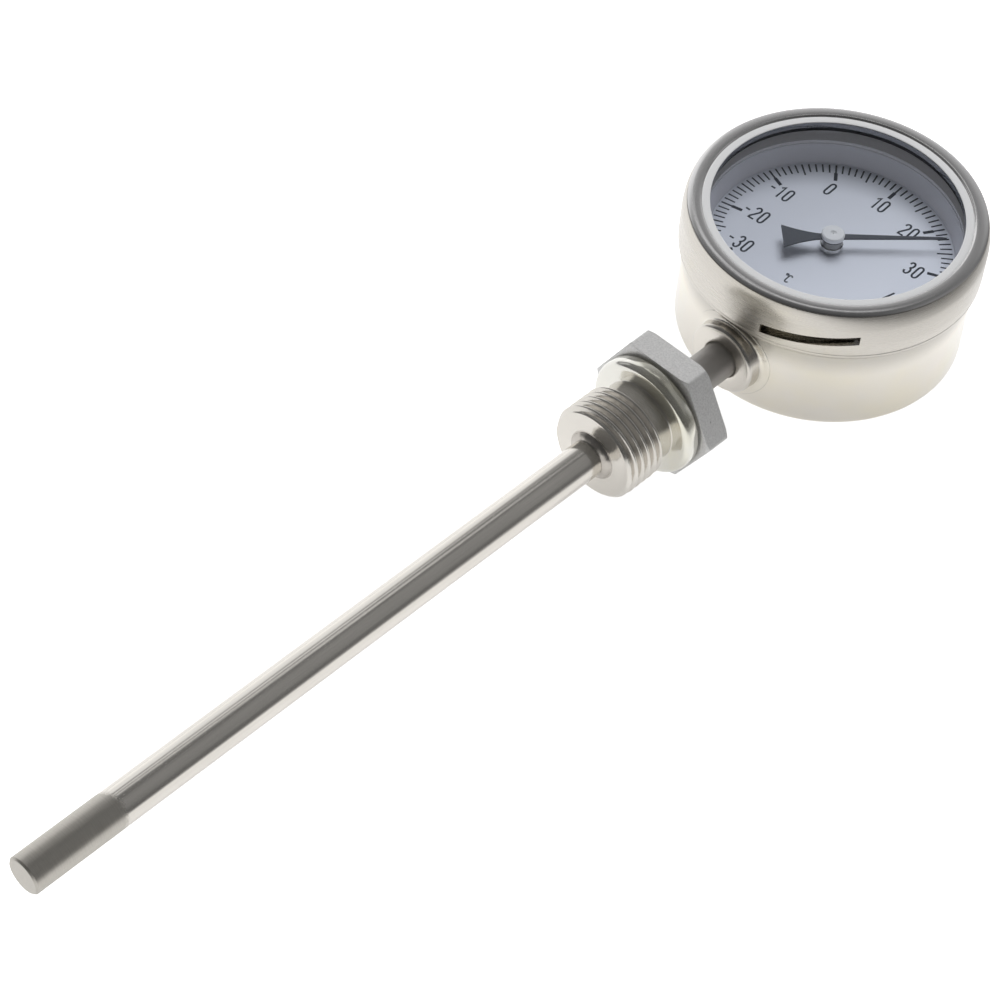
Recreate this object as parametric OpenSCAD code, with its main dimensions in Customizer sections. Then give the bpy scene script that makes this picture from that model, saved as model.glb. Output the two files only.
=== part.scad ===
// Bimetal dial thermometer, 63 mm class, radial stem with a G 1/2 process fitting.
// The dial faces +Z, the stem points along -Y, and the origin is the centre of the
// case's flat back. The stem's bimetal coil turns a long drive shaft, and a pair of
// mitre gears behind the dial turns the pointer.

/* [Case] */
// Outer radius of the drawn case
case_r = 30.7; // [30:0.1:31]
// Sheet thickness of the case
case_wall = 0.8; // [0.6:0.1:0.9]
// Thickness of the case's flat back
back_t = 0.9; // [0.8:0.1:1.2]
// Radius of the edge between the back and the wall
back_edge_r = 2.5; // [2:0.1:4]
// Height of the case rim above the back
rim_z = 26.7; // [26.5:0.1:27]
// Height at which the wall starts to neck in under the bezel
neck_z = 21.8; // [21.5:0.1:22.2]
// Outer radius of the necked part of the wall
neck_r = 29.5; // [29.3:0.1:29.6]

/* [Bezel] */
// Outer radius of the bayonet bezel
bezel_r = 32; // [31.9:0.1:32.2]
// Sheet thickness of the bezel
bezel_t = 0.9; // [0.7:0.1:0.9]
// Height of the bezel's bright front bead
front_z = 33.2; // [33:0.1:33.6]
// Height of the skirt's lower edge
skirt_z = 21.2; // [20.5:0.1:21.4]
// Inner radius of the bezel's opening
lip_r = 26.45; // [26:0.05:26.8]
// Radius of the rolled bead around the opening
bead_r = 0.85; // [0.7:0.05:0.9]
// Number of bayonet slots
slot_count = 3; // [3:1:4]
// Arc of one bayonet slot, in degrees
slot_arc = 37; // [30:1:40]
// Height of a bayonet slot
slot_h = 2.2; // [1.8:0.1:2.4]
// Slope of a bayonet slot's ramp, in degrees
slot_slope = 5.4; // [4:0.1:6]
// Direction of the first slot's middle, in degrees from +X
slot_dir = -59; // [-62:1:-56]
// Height of the slot's middle
slot_z = 25.9; // [25.7:0.1:26]

/* [Window and dial] */
// Radius of the window glass
window_r = 30.8; // [30.5:0.1:30.9]
// Thickness of the window glass
window_t = 3; // [2:0.5:3]
// Thickness of the seal between the rim and the window
seal_t = 0.8; // [0.6:0.1:1]
// Height of the dial's printed face
dial_z = 22; // [21.8:0.1:22.2]
// Thickness of the dial plate
dial_t = 0.6; // [0.4:0.1:0.8]
// Radius of the dial plate
dial_r = 28.2; // [27.5:0.1:28.3]
// Inner radius of the spacer ring at the dial
spacer_foot_r = 26; // [25.5:0.1:26.5]
// Inner radius of the spacer ring at the window
spacer_top_r = 27; // [26.5:0.1:27.2]

/* [Stem] */
// Height of the stem's axis above the case back
stem_z = 11.8; // [11.5:0.1:12]
// Outer radius of the stem tube
stem_r = 4; // [3.9:0.1:4.1]
// Bore radius of the stem tube
stem_bore_r = 3; // [2.9:0.1:3.1]
// Insertion length from the sealing face to the tip
insertion = 160; // [120:1:200]
// Distance of the sealing face from the dial's axis
seal_y = 58; // [57:0.5:60]

/* [Process fitting] */
// Width across the flats of the hexagon
hex_af = 27; // [26:1:28]
// Thickness of the hexagon
hex_t = 6; // [5:0.5:7]
// Radius of the sealing collar
collar_r = 13; // [12.5:0.1:13.2]
// Thickness of the sealing collar
collar_t = 3.3; // [3:0.1:3.4]
// Major radius of the G 1/2 thread
thread_r = 10.478; // [10.4:0.001:10.5]
// Minor radius of the G 1/2 thread
thread_root_r = 9.316; // [9.2:0.001:9.4]
// Pitch of the G 1/2 thread
thread_pitch = 1.814; // [1.8:0.001:1.82]
// Length from the sealing face to the thread's end
thread_len = 14; // [12:1:18]
// Radius of the undercut behind the thread
undercut_r = 8.9; // [8.5:0.1:9]

/* [Pointer] */
// Length of the needle from the axis
needle_len = 24; // [22:0.5:25]
// Length of the counterweight tail from the axis
tail_len = 10.5; // [9:0.5:12]
// Width of the tail at its end
tail_w = 6.4; // [5:0.2:7]
// Height of the pointer's underside
pointer_z = 24.9; // [24.7:0.1:25]
// Temperature shown at rest, in degrees Celsius
reading = 24; // [-30:1:50]

/* [Movement] */
// Teeth on each mitre gear
gear_teeth = 18; // [14:2:18]
// Module of the mitre gears
gear_module = 0.5; // [0.4:0.1:0.5]
// Face length of the mitre gears along their axes
gear_face = 1.8; // [1.4:0.1:2]
// Radius of the pointer shaft and of the drive shaft
shaft_r = 0.75; // [0.6:0.05:0.8]
// Radius of the two movement plates
plate_r = 17; // [16.5:0.5:18]
// Thickness of the movement plates
plate_t = 1.2; // [1:0.1:1.4]
// Height of the base plate's underside
base_z = 2.6; // [2.4:0.1:3]
// Height of the top plate's underside
top_z = 18.2; // [18:0.1:18.4]

/* [Bimetal coil] */
// Inner radius of the coil
coil_r = 2.15; // [2.15:0.05:2.2]
// Thickness of the bimetal strip
strip_t = 0.3; // [0.2:0.05:0.35]
// Width of the bimetal strip
strip_w = 1.4; // [1:0.1:1.5]
// Pitch of the coil
coil_pitch = 1.9; // [1.8:0.1:2.2]
// Number of turns
coil_turns = 30; // [20:1:32]

/* [Hidden] */
$fn = 96;

slip = 0.05;              // running clearance on a radius
snug = 0.02;              // gap of a brazed or pressed joint on a radius
cut = 1;                  // how far a cutter runs past the face it opens
scale_arc = 270;          // sweep of the printed scale
scale_low = -30;          // lowest value on the scale
scale_high = 50;          // highest value on the scale
dial_turn = -3.5;         // how far the dial sits turned from the stem's line

deg_per_c = scale_arc / (scale_high - scale_low);
pointer_dir = (reading - (scale_low + scale_high) / 2) * deg_per_c + dial_turn;

case_bore_r = case_r - case_wall;
neck_bore_r = neck_r - case_wall;
neck_drop = 1.0;          // height of the slope that leads into the neck
lug_arc = 40;             // arc of one rim lug
lug_dir = slot_dir - 3;   // middle of the first rim lug

bezel_bore_r = bezel_r - bezel_t;
bezel_edge_r = 1.2;       // outer radius of the bezel's front edge
crest_z = front_z + 0.25; // height of the crowned band outside the bead
crown_r = 4.8;            // radius of that crown's section
bead_mid_r = lip_r + bead_r;
bead_mid_z = front_z - bead_r;
roll_h = 1.2;             // height of the skirt's drawn-in lower edge
tab_in = 1.2;             // how far a bayonet tab reaches in from the skirt's bore

window_z = rim_z + seal_t;
gasket_z = window_z + window_t;
gasket_t = bead_mid_z - bead_r - gasket_z;

socket_r = 8;             // radius of the socket outside the case
socket_flange_r = 9.6;    // radius of the welded flange in the case wall
socket_y = 33.4;          // outer end of the socket
socket_flange_y = 31.3;   // outer face of the welded flange
socket_in_y = 27;         // inner end of the socket
spigot_r = stem_r - 0.3;  // radius of the tubes' spigots inside the process fitting

tip_y = seal_y + insertion;
tip_t = 2;                // thickness of the tip's closing disc
collar_y = seal_y - collar_t;
collar_round = 1.6;       // radius on the collar's sealing edge
groove_t = 0.5;           // width of the groove between the hexagon and the collar
groove_r = 12;            // radius of that groove's floor
hex_y = collar_y - groove_t - hex_t;
thread_y = seal_y + 4;    // where the thread starts, past the undercut
thread_end_y = seal_y + thread_len;
crest_w = 0.5;            // width of a crest's flat
fillet_r = 1.3;           // size of the weld fillet between the fitting and the stem

coil_low_y = tip_y - tip_t - 8;
coil_high_y = coil_low_y - coil_turns * coil_pitch;
coil_grip = 10;           // length over which each end of the coil is held
coil_seg = 18;            // flats in one turn of the coil
post_r = coil_r - 0.1;

gear_r = gear_teeth * gear_module / 2;   // pitch radius, also the apex distance
gear_hub_r = 2.4;
upright_y = 9.6;          // inner face of the base plate's upright tab
bush_r = 2;               // outer radius of the bushes in the movement plates
bush_flange_r = 3;
pillar_r = 2.2;
pillar_ring = 13;         // distance of the pillars from the axis
pillar_dirs = [90, 210, 330];
stud_r = 1.25;
stud_places = [[12.5, 5], [-12.5, 5], [0, -14.3]];
post_stud_r = 1;          // radius of the threaded stud under a dial post

// Turns a shape drawn along +Z so that it runs along -Y at the stem's height
module along_stem() translate([0, 0, stem_z]) rotate([90, 0, 0]) children();

// Cylinder along the stem, from distance y0 to y1 from the dial's axis
module stem_cyl(r, y0, y1) along_stem() translate([0, 0, y0]) cylinder(r = r, h = y1 - y0);

// Tube along +Z
module tube(r_out, r_in, z0, z1) {
    difference() {
        translate([0, 0, z0]) cylinder(r = r_out, h = z1 - z0);
        translate([0, 0, z0 - cut]) cylinder(r = r_in, h = z1 - z0 + 2 * cut);
    }
}

// Part of a ring between two directions
module ring_sector(r_in, r_out, z0, z1, from_dir, arc) {
    rotate([0, 0, from_dir]) rotate_extrude(angle = arc)
        translate([r_in, z0]) square([r_out - r_in, z1 - z0]);
}

// Quarter of a ring in the plane, bulging towards +X and towards +Y or -Y
module quarter_ring(r_out, r_in, side) {
    intersection() {
        difference() {
            circle(r = r_out);
            circle(r = r_in);
        }
        translate([0, side > 0 ? 0 : -r_out]) square(r_out);
    }
}

// Half section of the drawn case
module case_section() {
    edge_in = back_edge_r - case_wall;
    square([case_r - back_edge_r, back_t]);
    translate([case_r - back_edge_r, back_edge_r]) quarter_ring(back_edge_r, edge_in, -1);
    translate([case_bore_r, back_edge_r]) square([case_wall, neck_z - back_edge_r]);
    polygon([
        [case_bore_r, neck_z], [case_r, neck_z],
        [neck_r, neck_z + neck_drop], [neck_bore_r, neck_z + neck_drop]
    ]);
    translate([neck_bore_r, neck_z + neck_drop])
        square([case_wall, rim_z - neck_z - neck_drop]);
    translate([neck_bore_r, rim_z - case_wall]) square([case_r - neck_bore_r, case_wall]);
}

module case_pot() color("gainsboro") {
    gap_arc = 360 / slot_count - lug_arc;
    difference() {
        rotate_extrude() case_section();
        stem_cyl(socket_flange_r + snug, case_r - 5, case_r + cut);
        for (i = [0 : slot_count - 1])
            ring_sector(neck_r + 0.2, case_r + cut, rim_z - case_wall - cut / 2, rim_z + cut,
                lug_dir + lug_arc / 2 + i * 360 / slot_count, gap_arc);
    }
}

module case_studs() color("silver") {
    for (p = stud_places) translate([p[0], p[1], back_t]) {
        cylinder(r = 2.2, h = base_z - back_t);
        cylinder(r = stud_r, h = 6.2);
    }
}

// Socket that carries the stem, with a welded flange in the case wall
module stem_socket() color("silver") {
    edge = 1.0;
    along_stem() rotate_extrude() polygon([
        [stem_r + snug, socket_in_y], [socket_r, socket_in_y],
        [socket_r, case_r - 4], [socket_flange_r, case_r - 4],
        [socket_flange_r, socket_flange_y - edge], [socket_r + edge / 2, socket_flange_y],
        [socket_r, socket_flange_y + edge / 3], [socket_r, socket_y - edge],
        [socket_r - edge / 3, socket_y - edge / 3], [socket_r - edge, socket_y],
        [stem_r + snug, socket_y]
    ]);
}

// Tube from y0 to y1 with a turned-down spigot where it sits in the process fitting
module fitted_tube(y0, y1, spigot_y0, spigot_y1) {
    difference() {
        union() {
            stem_cyl(stem_r, y0, y1);
            stem_cyl(spigot_r, spigot_y0, spigot_y1);
        }
        stem_cyl(stem_bore_r, min(y0, spigot_y0) - cut, max(y1, spigot_y1) + cut);
    }
}

module neck_tube() color("silver") fitted_tube(socket_in_y - 1, hex_y, hex_y, thread_y - 1);

module stem_tube() color("silver")
    fitted_tube(thread_end_y + fillet_r, tip_y - tip_t, thread_y + 1, thread_end_y + fillet_r);

// Closing disc, spigot and coil post, turned in one piece
module stem_tip() color("silver") {
    edge = 0.4;
    along_stem() rotate_extrude() polygon([
        [0, coil_low_y - coil_grip], [post_r, coil_low_y - coil_grip],
        [post_r, coil_low_y + 1], [stem_bore_r - snug, coil_low_y + 1],
        [stem_bore_r - snug, tip_y - tip_t], [stem_r, tip_y - tip_t],
        [stem_r, tip_y - edge], [stem_r - edge, tip_y], [0, tip_y]
    ]);
}

// Hexagonal prism with lightly chamfered corners
module fitting_hex() {
    corner_r = hex_af / 2 / cos(30);
    face_r = corner_r - 0.8;
    drop = 0.45;
    intersection() {
        along_stem() translate([0, 0, hex_y]) cylinder(r = corner_r, h = hex_t, $fn = 6);
        along_stem() rotate_extrude() polygon([
            [0, hex_y], [face_r, hex_y], [corner_r, hex_y + drop],
            [corner_r, hex_y + hex_t - drop], [face_r, hex_y + hex_t], [0, hex_y + hex_t]
        ]);
    }
}

// Half section of the collar, the undercut and the grooved thread
module fitting_section() {
    bore = spigot_r + snug;
    crests = floor((thread_end_y - thread_y) / thread_pitch);
    translate([bore, hex_y + hex_t]) square([groove_r - bore, groove_t]);
    translate([bore, collar_y]) square([collar_r - bore, collar_t - collar_round]);
    translate([bore, collar_y]) square([collar_r - collar_round - bore, collar_t]);
    translate([collar_r - collar_round, seal_y - collar_round]) circle(r = collar_round);
    translate([bore, seal_y]) square([undercut_r - bore, thread_y - seal_y]);
    translate([bore, thread_y]) square([thread_root_r - bore, thread_end_y - thread_y]);
    for (i = [0 : crests - 1]) translate([0, thread_y + (i + 0.5) * thread_pitch]) polygon([
        [thread_root_r - 0.1, -thread_pitch / 2], [thread_root_r, -thread_pitch / 2],
        [thread_r, -crest_w / 2], [thread_r, crest_w / 2],
        [thread_root_r, thread_pitch / 2], [thread_root_r - 0.1, thread_pitch / 2]
    ]);
    translate([bore, thread_end_y]) difference() {
        square(fillet_r);
        translate([fillet_r, fillet_r]) circle(r = fillet_r);
    }
}

module process_fitting() color("darkgray") {
    difference() {
        union() {
            fitting_hex();
            along_stem() rotate_extrude() fitting_section();
        }
        stem_cyl(spigot_r + snug, hex_y - cut, thread_end_y + fillet_r + cut);
    }
}

// Corners of the bimetal strip's section after i flats of the winding
function strip_corners(i) = [
    for (c = [[0, -0.5], [1, -0.5], [1, 0.5], [0, 0.5]])
        let (r = coil_r + c[0] * strip_t, a = 360 * i / coil_seg)
            [r * cos(a), r * sin(a), coil_pitch * i / coil_seg + c[1] * strip_w]
];

module bimetal_coil() color("tan") {
    steps = (coil_turns - 1) * coil_seg;
    points = [for (i = [0 : steps]) each strip_corners(i)];
    last = 4 * steps;
    faces = [
        [0, 1, 2], [0, 2, 3],
        [last + 2, last + 1, last], [last + 3, last + 2, last],
        for (i = [0 : steps - 1], k = [0 : 3])
            let (a = 4 * i + k, b = 4 * i + (k + 1) % 4)
                each [[a, a + 4, b + 4], [a, b + 4, b]]
    ];
    along_stem() translate([0, 0, coil_high_y + coil_pitch / 2])
        polyhedron(points = points, faces = faces);
}

// Hub on the drive shaft's lower end, to which the coil's upper turns are fixed
module coil_hub() color("goldenrod") {
    difference() {
        stem_cyl(post_r, coil_high_y - 2, coil_high_y + coil_grip);
        stem_cyl(shaft_r + snug, coil_high_y - 2 - cut, coil_high_y + coil_grip + cut);
    }
}

module drive_shaft() color("lightgray") {
    stem_cyl(shaft_r, gear_r - gear_face - 0.4, coil_high_y + coil_grip);
}

module shaft_guides() color("white") {
    guide_len = 3;
    for (y = [44, 86, 128]) difference() {
        stem_cyl(stem_bore_r - snug, y, y + guide_len);
        stem_cyl(shaft_r + slip, y - cut, y + guide_len + cut);
    }
}

module thrust_collar() color("goldenrod") {
    difference() {
        stem_cyl(2.2, upright_y + 3.6, upright_y + 5.6);
        stem_cyl(shaft_r + snug, upright_y, upright_y + 7);
    }
}

module shaft_bearing() color("goldenrod") {
    difference() {
        union() {
            stem_cyl(bush_r, upright_y - 0.2, upright_y + plate_t + 1);
            stem_cyl(bush_flange_r, upright_y + plate_t, upright_y + plate_t + 2.2);
        }
        stem_cyl(shaft_r + slip, upright_y - cut, upright_y + 5);
    }
}

// Half the angle that a tooth spans on its back cone at radius rho
function tooth_half(rho) =
    let (
        back_r = gear_r * sqrt(2),
        base_r = back_r * cos(20),
        backlash = 0.12,
        at_pitch = (PI * gear_module - backlash) / 4 / back_r * 180 / PI,
        a = acos(min(1, base_r / max(rho, base_r)))
    )
    at_pitch + (tan(20) - tan(a)) * 180 / PI - 20 + a;

// Outline of a mitre gear in the plane of its large end, whose cone has its apex
// one pitch radius away
function mitre_outline() =
    let (
        back_r = gear_r * sqrt(2),
        root = back_r - 1.25 * gear_module,
        tip = back_r + 0.95 * gear_module,
        steps = 5,
        flank = [
            for (k = [0 : steps])
                let (rho = root + (tip - root) * k / steps)
                    [gear_r * tan(45 + atan((rho - back_r) / back_r)),
                     tooth_half(rho) * sqrt(2)]
        ]
    )
    [
        for (t = [0 : gear_teeth - 1])
            let (mid = t * 360 / gear_teeth)
                each concat(
                    [for (k = [0 : steps]) flank[k][0]
                        * [cos(mid - flank[k][1]), sin(mid - flank[k][1])]],
                    [for (k = [steps : -1 : 0]) flank[k][0]
                        * [cos(mid + flank[k][1]), sin(mid + flank[k][1])]]
                )
    ];

// Mitre gear with its apex at the origin and its hub towards +Z
module mitre_gear(hub_len) {
    difference() {
        union() {
            translate([0, 0, gear_r]) rotate([180, 0, 0])
                linear_extrude(height = gear_face, scale = (gear_r - gear_face) / gear_r)
                    polygon(mitre_outline());
            translate([0, 0, gear_r - gear_face / 2])
                cylinder(r = gear_hub_r, h = hub_len + gear_face / 2);
        }
        cylinder(r = shaft_r + snug, h = gear_r + hub_len + cut);
    }
}

// A gap of the drive gear faces the pinion, a tooth of the pinion faces the gear
module drive_gear() color("goldenrod") {
    along_stem() rotate([0, 0, 90 + 180 / gear_teeth]) mitre_gear(3.2);
}

module pointer_pinion() color("goldenrod") {
    translate([0, 0, stem_z]) rotate([0, 0, -90]) mitre_gear(1.4);
}

module pointer_shaft() color("lightgray") {
    translate([0, 0, base_z + 0.3]) cylinder(r = shaft_r, h = pointer_z + 0.9 - base_z - 0.3);
}

module base_plate() color("khaki") {
    tab_w = 12;
    difference() {
        union() {
            translate([0, 0, base_z]) cylinder(r = plate_r, h = plate_t);
            translate([-tab_w / 2, -upright_y - plate_t, base_z])
                cube([tab_w, plate_t, stem_z + 5 - base_z]);
        }
        translate([0, 0, base_z - cut]) cylinder(r = bush_r + snug, h = plate_t + 2 * cut);
        for (d = pillar_dirs) rotate([0, 0, d]) translate([pillar_ring, 0, base_z - cut])
            cylinder(r = 1.2 + snug, h = plate_t + 2 * cut);
        for (p = stud_places) translate([p[0], p[1], base_z - cut])
            cylinder(r = stud_r + 0.1, h = plate_t + 2 * cut);
        stem_cyl(bush_r + snug, upright_y - cut, upright_y + plate_t + cut);
    }
}

module top_plate() color("khaki") {
    difference() {
        translate([0, 0, top_z]) cylinder(r = plate_r, h = plate_t);
        translate([0, 0, top_z - cut]) cylinder(r = bush_r + snug, h = plate_t + 2 * cut);
        for (d = pillar_dirs) rotate([0, 0, d]) translate([pillar_ring, 0, top_z - cut])
            cylinder(r = post_stud_r + 0.1, h = plate_t + 2 * cut);
    }
}

module plate_pillars() color("goldenrod") {
    spigot = 1.2;
    for (d = pillar_dirs) rotate([0, 0, d]) translate([pillar_ring, 0, 0]) difference() {
        union() {
            translate([0, 0, base_z + plate_t]) cylinder(r = pillar_r, h = top_z - base_z - plate_t);
            translate([0, 0, base_z]) cylinder(r = spigot, h = plate_t + 0.5);
        }
        translate([0, 0, top_z - 5]) cylinder(r = post_stud_r + snug, h = 5 + cut);
    }
}

module plate_nuts() color("silver") {
    nut_af = 5;
    for (p = stud_places) translate([p[0], p[1], base_z + plate_t]) difference() {
        cylinder(r = nut_af / 2 / cos(30), h = 2, $fn = 6);
        translate([0, 0, -cut]) cylinder(r = stud_r + snug, h = 2 + 2 * cut);
    }
}

module lower_bush() color("goldenrod") tube(bush_r, shaft_r + slip, base_z, base_z + plate_t + 1);

module upper_bush() color("goldenrod") {
    tube(bush_r, shaft_r + slip, top_z - 0.2, top_z + plate_t + 0.8);
    tube(bush_flange_r, shaft_r + slip, top_z + plate_t, top_z + plate_t + 0.8);
}

// Hexagonal posts that carry the dial, with studs that clamp the top plate
module dial_posts() color("silver") {
    foot = top_z + plate_t;
    for (d = pillar_dirs) rotate([0, 0, d]) translate([pillar_ring, 0, 0]) {
        translate([0, 0, foot]) cylinder(r = 2.3, h = dial_z - dial_t - foot, $fn = 6);
        translate([0, 0, foot - plate_t - 4]) cylinder(r = post_stud_r, h = plate_t + 4.5);
    }
}

module dial_plate() color("aliceblue") tube(dial_r, 1.4, dial_z - dial_t, dial_z);

module spacer_ring() color("lightsteelblue") {
    outer = neck_bore_r - 0.2;
    rotate_extrude() polygon([
        [spacer_foot_r, dial_z], [outer, dial_z], [outer, rim_z],
        [spacer_top_r, rim_z], [spacer_foot_r, dial_z + 0.6]
    ]);
}

// Bush that carries the pointer, with a bright flange at its foot
module pointer_hub() color("silver") {
    foot = dial_z + 0.45;
    difference() {
        union() {
            translate([0, 0, foot]) cylinder(r = 2.45, h = 0.9);
            translate([0, 0, foot]) cylinder(r = 2.25, h = pointer_z - foot);
            translate([0, 0, foot]) cylinder(r = 1.3, h = pointer_z + 0.4 - foot);
        }
        translate([0, 0, foot - cut]) cylinder(r = shaft_r + snug, h = 5);
    }
}

// Half width of the counterweight tail at part t of its length
function tail_half(t) = 0.7 + (tail_w / 2 - 0.7) * pow(t, 1.5);

module pointer() color("dimgray") {
    sheet = 0.4;
    boss_r = 2.2;
    tail_from = 2;
    steps = 6;
    tail = [
        for (k = [0 : steps])
            let (t = k / steps) [tail_half(t), -tail_from - (tail_len - tail_from) * t]
    ];
    translate([0, 0, pointer_z]) rotate([0, 0, -pointer_dir]) difference() {
        union() {
            cylinder(r = boss_r, h = sheet);
            linear_extrude(height = sheet) polygon([
                [0.75, 0], [0.55, 8], [0.22, needle_len - 1], [0, needle_len],
                [-0.22, needle_len - 1], [-0.55, 8], [-0.75, 0]
            ]);
            linear_extrude(height = sheet) polygon(concat(
                [[0, 0]], tail, [for (k = [steps : -1 : 0]) [-tail[k][0], tail[k][1]]]
            ));
        }
        translate([0, 0, -cut]) cylinder(r = 1.3 + snug, h = sheet + 2 * cut);
    }
}

// Bright cap on the end of the pointer shaft, with a centre dimple
module pointer_cap() color("white") {
    foot = pointer_z + 0.4;
    top = foot + 1;
    difference() {
        rotate_extrude() polygon([
            [0, foot], [2.45, foot], [2.45, top - 0.25], [2.2, top], [0, top]
        ]);
        translate([0, 0, foot - cut]) cylinder(r = shaft_r + snug, h = cut + 0.6);
        translate([0, 0, top + 0.35]) sphere(r = 0.75, $fn = 48);
    }
}

module rim_seal() color("black") {
    tube(case_r - 0.1, spacer_top_r + 0.2, rim_z, window_z);
}

module window_glass() color("lightcyan", 0.3) {
    translate([0, 0, window_z]) cylinder(r = window_r, h = window_t);
}

module window_gasket() color("black") {
    tube(window_r, lip_r + 0.4, gasket_z, gasket_z + gasket_t);
}

// Half section of the bezel: bead, crowned band, rounded edge and skirt
module bezel_section() {
    edge_z = crest_z - bezel_edge_r;
    crest = bezel_r - bezel_edge_r;
    crown_in = bead_mid_r + 1.2;
    crown_mid_z = crest_z - crown_r;
    crown_top = crown_mid_z + sqrt(pow(crown_r, 2) - pow(crest - crown_in, 2));
    translate([bead_mid_r, bead_mid_z]) circle(r = bead_r);
    polygon([
        [bead_mid_r, bead_mid_z - bead_r], [bead_mid_r, bead_mid_z],
        [bead_mid_r + 0.8, bead_mid_z + 0.2], [crown_in + 0.05, crown_top - 0.1],
        [crown_in + 0.05, crown_top - 0.9]
    ]);
    intersection() {
        translate([crest, crown_mid_z]) difference() {
            circle(r = crown_r);
            circle(r = crown_r - bezel_t);
        }
        translate([crown_in, crown_mid_z]) square([crest - crown_in, crown_r + cut]);
    }
    translate([crest, edge_z]) quarter_ring(bezel_edge_r, bezel_edge_r - bezel_t, 1);
    translate([bezel_bore_r, skirt_z + roll_h]) square([bezel_t, edge_z - skirt_z - roll_h]);
    polygon([
        [bezel_bore_r, skirt_z], [bezel_bore_r + 0.35, skirt_z],
        [bezel_r, skirt_z + roll_h], [bezel_bore_r, skirt_z + roll_h]
    ]);
}

// Slab that follows a bayonet ramp, from lo to hi above the ramp's middle line
module ramp_slab(lo, hi) {
    translate([0, 0, slot_z]) rotate([slot_slope, 0, 0])
        translate([bezel_r - 8, -bezel_r, lo]) cube([10, 2 * bezel_r, hi - lo]);
}

module bezel_ring() color("gainsboro") {
    floor_z = -slot_h / 2;
    difference() {
        rotate_extrude() bezel_section();
        for (i = [0 : slot_count - 1]) rotate([0, 0, slot_dir + i * 360 / slot_count])
            intersection() {
                ring_sector(bezel_bore_r - cut, bezel_r + cut, skirt_z, crest_z,
                    -slot_arc / 2, slot_arc);
                ramp_slab(floor_z, floor_z + slot_h);
            }
    }
    for (i = [0 : slot_count - 1]) rotate([0, 0, slot_dir + i * 360 / slot_count])
        intersection() {
            ring_sector(bezel_bore_r - tab_in, bezel_r - bezel_t / 2, skirt_z, crest_z,
                -slot_arc / 2, slot_arc);
            ramp_slab(floor_z - bezel_t, floor_z);
        }
}

case_pot();
case_studs();
stem_socket();
neck_tube();
process_fitting();
stem_tube();
stem_tip();
bimetal_coil();
coil_hub();
drive_shaft();
shaft_guides();
thrust_collar();
shaft_bearing();
drive_gear();
pointer_pinion();
pointer_shaft();
base_plate();
top_plate();
plate_pillars();
plate_nuts();
lower_bush();
upper_bush();
dial_posts();
dial_plate();
spacer_ring();
pointer_hub();
pointer();
pointer_cap();
rim_seal();
window_glass();
window_gasket();
bezel_ring();
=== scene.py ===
"""Looks of the dial thermometer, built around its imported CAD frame.

The frame is in metres. The mesh pieces here are drawn in millimetres, and piece() scales them.
The dial's axis is +Z, and the stem runs along -Y.
"""
import math

import bmesh
import bpy
import numpy as np
from mathutils import Matrix, Vector


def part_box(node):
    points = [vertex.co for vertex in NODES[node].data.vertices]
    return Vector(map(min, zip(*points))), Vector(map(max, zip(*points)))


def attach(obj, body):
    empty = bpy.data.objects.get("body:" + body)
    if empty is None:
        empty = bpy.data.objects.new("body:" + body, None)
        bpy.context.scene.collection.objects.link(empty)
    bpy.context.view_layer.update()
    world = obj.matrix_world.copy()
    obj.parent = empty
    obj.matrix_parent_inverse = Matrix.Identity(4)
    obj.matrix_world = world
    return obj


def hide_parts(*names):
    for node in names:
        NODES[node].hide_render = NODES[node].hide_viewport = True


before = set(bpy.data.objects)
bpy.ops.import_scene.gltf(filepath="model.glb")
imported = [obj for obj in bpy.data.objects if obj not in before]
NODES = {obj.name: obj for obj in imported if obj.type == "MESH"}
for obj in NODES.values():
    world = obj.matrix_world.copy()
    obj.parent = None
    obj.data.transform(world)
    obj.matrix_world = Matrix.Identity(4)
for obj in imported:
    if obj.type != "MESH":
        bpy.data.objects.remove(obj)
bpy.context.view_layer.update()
scene = bpy.context.scene
MM = 0.001


def box_mm(node):
    """Lowest and highest corner of a CAD node, in millimetres."""
    lo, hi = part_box(node)
    return np.array(lo) / MM, np.array(hi) / MM


# ---------------------------------------------------------------- sizes read from the frame
bezel_lo, bezel_hi = box_mm("bezel_ring")
tube_lo, tube_hi = box_mm("stem_tube")
sock_lo, sock_hi = box_mm("stem_socket")
fit_hi = box_mm("process_fitting")[1]
case_r = box_mm("case_pot")[1][0]
bezel_r = bezel_hi[0]
dial_z = box_mm("dial_plate")[1][2]
stem_z = (tube_lo[2] + tube_hi[2]) / 2
stem_r = (tube_hi[0] - tube_lo[0]) / 2
tip_end = -box_mm("stem_tip")[0][1]
CASE_EDGE = 2.5                 # radius of the rounded edge of the case's back


# ---------------------------------------------------------------- node materials
STREAK_ROUGHNESS = 0.55


def rgb(r, g, b):
    return (r, g, b, 1.0)


def scaled(color, k):
    """The colour made lighter or darker, kept at or below white."""
    return rgb(*[min(1.0, c * k) for c in color])


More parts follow.
